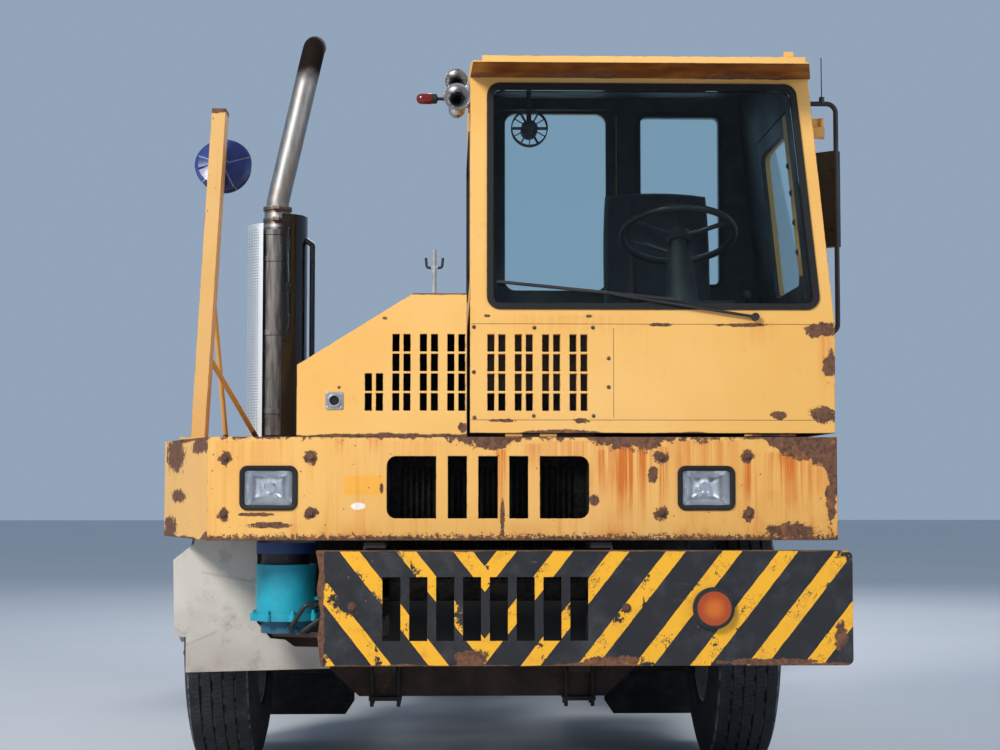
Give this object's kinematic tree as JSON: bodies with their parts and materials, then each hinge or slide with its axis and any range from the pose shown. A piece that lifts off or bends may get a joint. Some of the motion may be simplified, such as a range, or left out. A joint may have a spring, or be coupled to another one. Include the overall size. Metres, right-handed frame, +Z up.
{
  "type": "terminal tractor",
  "caption": "Yard tractor with an offset tilting cab, steered front axle, dual rear wheels and a fifth wheel on a lifting boom.",
  "frame": {"origin": "on the ground, on the truck's centreline, halfway between its front and rear ends", "axes": "+Z up, -Y to the truck's front, +X to its left side, the driver's side"},
  "size_m": [2.5159, 5.152, 3.1171],
  "materials": {
    "amber_lens": "gloss",
    "black_plastic": "satin",
    "blue_paint": "dirty gloss",
    "bright_steel": "heat stained",
    "bumper_black": "scratched satin",
    "cast_steel": "dirty rough",
    "chrome": "polished",
    "dash_plastic": "satin",
    "frame_black": "dirty satin",
    "galvanised": "dull",
    "grey_sheet": "dirty matte",
    "lamp_glass": "clear",
    "mirror_blue": "gloss",
    "radiator_core": "dull",
    "rim_paint": "dirty satin",
    "seal_rubber": "matte",
    "seat_cloth": "woven",
    "tyre_rubber": "matte",
    "window_glass": "clear",
    "yellow_paint": "worn gloss"
  },
  "bodies": {
    "chassis": {"frame_rails": "frame_black", "crossmembers": "frame_black", "front_bumper": "bumper_black", "nose_panel": "yellow_paint", "deck_plates": "yellow_paint", "deck_skirts": "yellow_paint", "headlamps": "lamp_glass", "marker_lamps": "amber_lens", "hood": "yellow_paint", "engine": "cast_steel", "radiator": "radiator_core", "front_axle": "cast_steel", "leaf_springs": "cast_steel", "splash_shield": "grey_sheet", "mud_flaps": "seal_rubber", "air_dryer": "blue_paint", "mirror_mast": "yellow_paint", "mast_mirror": "mirror_blue", "exhaust": "bright_steel", "exhaust_guard_perforated": "galvanised", "exhaust_guard_black": "frame_black", "hose_pole": "frame_black", "rear_platform": "galvanised", "fuel_tank": "frame_black", "battery_box": "frame_black", "air_tanks": "frame_black", "rear_axle": "cast_steel"},
    "knuckle_left": {"knuckle_left": "cast_steel"},
    "knuckle_right": {"knuckle_right": "cast_steel"},
    "tie_rod": {"tie_rod": "cast_steel"},
    "front_wheel_left": {"front_wheel_left": "rim_paint", "front_tyre_left": "tyre_rubber"},
    "front_wheel_right": {"front_wheel_right": "rim_paint", "front_tyre_right": "tyre_rubber"},
    "rear_wheels_left": {"rear_wheels_left": "rim_paint", "rear_tyres_left": "tyre_rubber"},
    "rear_wheels_right": {"rear_wheels_right": "rim_paint", "rear_tyres_right": "tyre_rubber"},
    "boom": {"boom": "yellow_paint"},
    "fifth_wheel": {"fifth_wheel": "cast_steel"},
    "lift_barrels": {"lift_barrels": "frame_black"},
    "lift_rods": {"lift_rods": "chrome"},
    "cab": {"cab_floor": "frame_black", "cab_front": "yellow_paint", "cab_sides": "yellow_paint", "cab_rear": "yellow_paint", "cab_roof": "yellow_paint", "cab_glass": "window_glass", "window_gaskets": "seal_rubber", "seat_base": "black_plastic", "seat": "seat_cloth", "dashboard": "dash_plastic", "cab_mirror": "black_plastic", "horns": "chrome", "wiper": "black_plastic"},
    "steering_wheel": {"steering_wheel": "black_plastic"},
    "side_door": {"side_door": "yellow_paint", "side_door_glass": "window_glass"},
    "rear_door": {"rear_door": "yellow_paint", "rear_door_glass": "window_glass"}
  },
  "joints": [
    {"name": "steer_left", "type": "hinge", "parent": "chassis", "child": "knuckle_left", "pos_m": [0.87, -1.15, 0.525], "axis": [0, 0, 1], "range_deg": [-35, 35]},
    {"name": "steer_right", "type": "hinge", "parent": "chassis", "child": "knuckle_right", "pos_m": [-0.87, -1.15, 0.525], "axis": [0, 0, 1], "range_deg": [-35, 35]},
    {"name": "tie_rod_end", "type": "hinge", "parent": "knuckle_left", "child": "tie_rod", "pos_m": [0.87, -0.93, 0.345], "axis": [0, 0, 1], "range_deg": [-35, 35]},
    {"name": "front_spin_left", "type": "hinge", "parent": "knuckle_left", "child": "front_wheel_left", "pos_m": [1.02, -1.15, 0.525], "axis": [1, 0, 0], "continuous": true},
    {"name": "front_spin_right", "type": "hinge", "parent": "knuckle_right", "child": "front_wheel_right", "pos_m": [-1.02, -1.15, 0.525], "axis": [1, 0, 0], "continuous": true},
    {"name": "rear_spin_left", "type": "hinge", "parent": "chassis", "child": "rear_wheels_left", "pos_m": [0.908, 1.8, 0.525], "axis": [1, 0, 0], "continuous": true},
    {"name": "rear_spin_right", "type": "hinge", "parent": "chassis", "child": "rear_wheels_right", "pos_m": [-0.908, 1.8, 0.525], "axis": [1, 0, 0], "continuous": true},
    {"name": "boom_lift", "type": "hinge", "parent": "chassis", "child": "boom", "pos_m": [0, 0.15, 0.82], "axis": [1, 0, 0], "range_deg": [0, 16]},
    {"name": "lift_barrel_swing", "type": "hinge", "parent": "chassis", "child": "lift_barrels", "pos_m": [0, 0.45, 0.64], "axis": [1, 0, 0], "range_deg": [0, 21]},
    {"name": "lift_rod_slide", "type": "slide", "parent": "lift_barrels", "child": "lift_rods", "axis": [0, 0.9472, 0.3206], "range_m": [0, 0.085]},
    {"name": "fifth_wheel_pitch", "type": "hinge", "parent": "boom", "child": "fifth_wheel", "pos_m": [0, 1.72, 1.04], "axis": [1, 0, 0], "range_deg": [-12, 12]},
    {"name": "cab_tilt", "type": "hinge", "parent": "chassis", "child": "cab", "pos_m": [0.55, -2.336, 1.285], "axis": [1, 0, 0], "range_deg": [0, 45]},
    {"name": "side_door_swing", "type": "hinge", "parent": "cab", "child": "side_door", "pos_m": [1.233, -2.09, 1.9], "axis": [0, 0, -1], "range_deg": [0, 75]},
    {"name": "rear_door_slide", "type": "slide", "parent": "cab", "child": "rear_door", "axis": [1, 0, 0], "range_m": [0, 0.5]},
    {"name": "steering_wheel_turn", "type": "hinge", "parent": "cab", "child": "steering_wheel", "pos_m": [0.724, -1.9, 2.05], "axis": [0, 0.3665, 0.9304], "range_deg": [-630, 630]}
  ],
  "couplings": [
    {"joint": "steer_right", "follows": "steer_left", "ratio": 1},
    {"joint": "tie_rod_end", "follows": "steer_left", "ratio": -1},
    {"joint": "steering_wheel_turn", "follows": "steer_left", "ratio": 18},
    {"joint": "lift_barrel_swing", "follows": "boom_lift", "ratio": 1.2548},
    {"joint": "lift_rod_slide", "follows": "boom_lift", "m_per_rad": 0.2949}
  ]
}
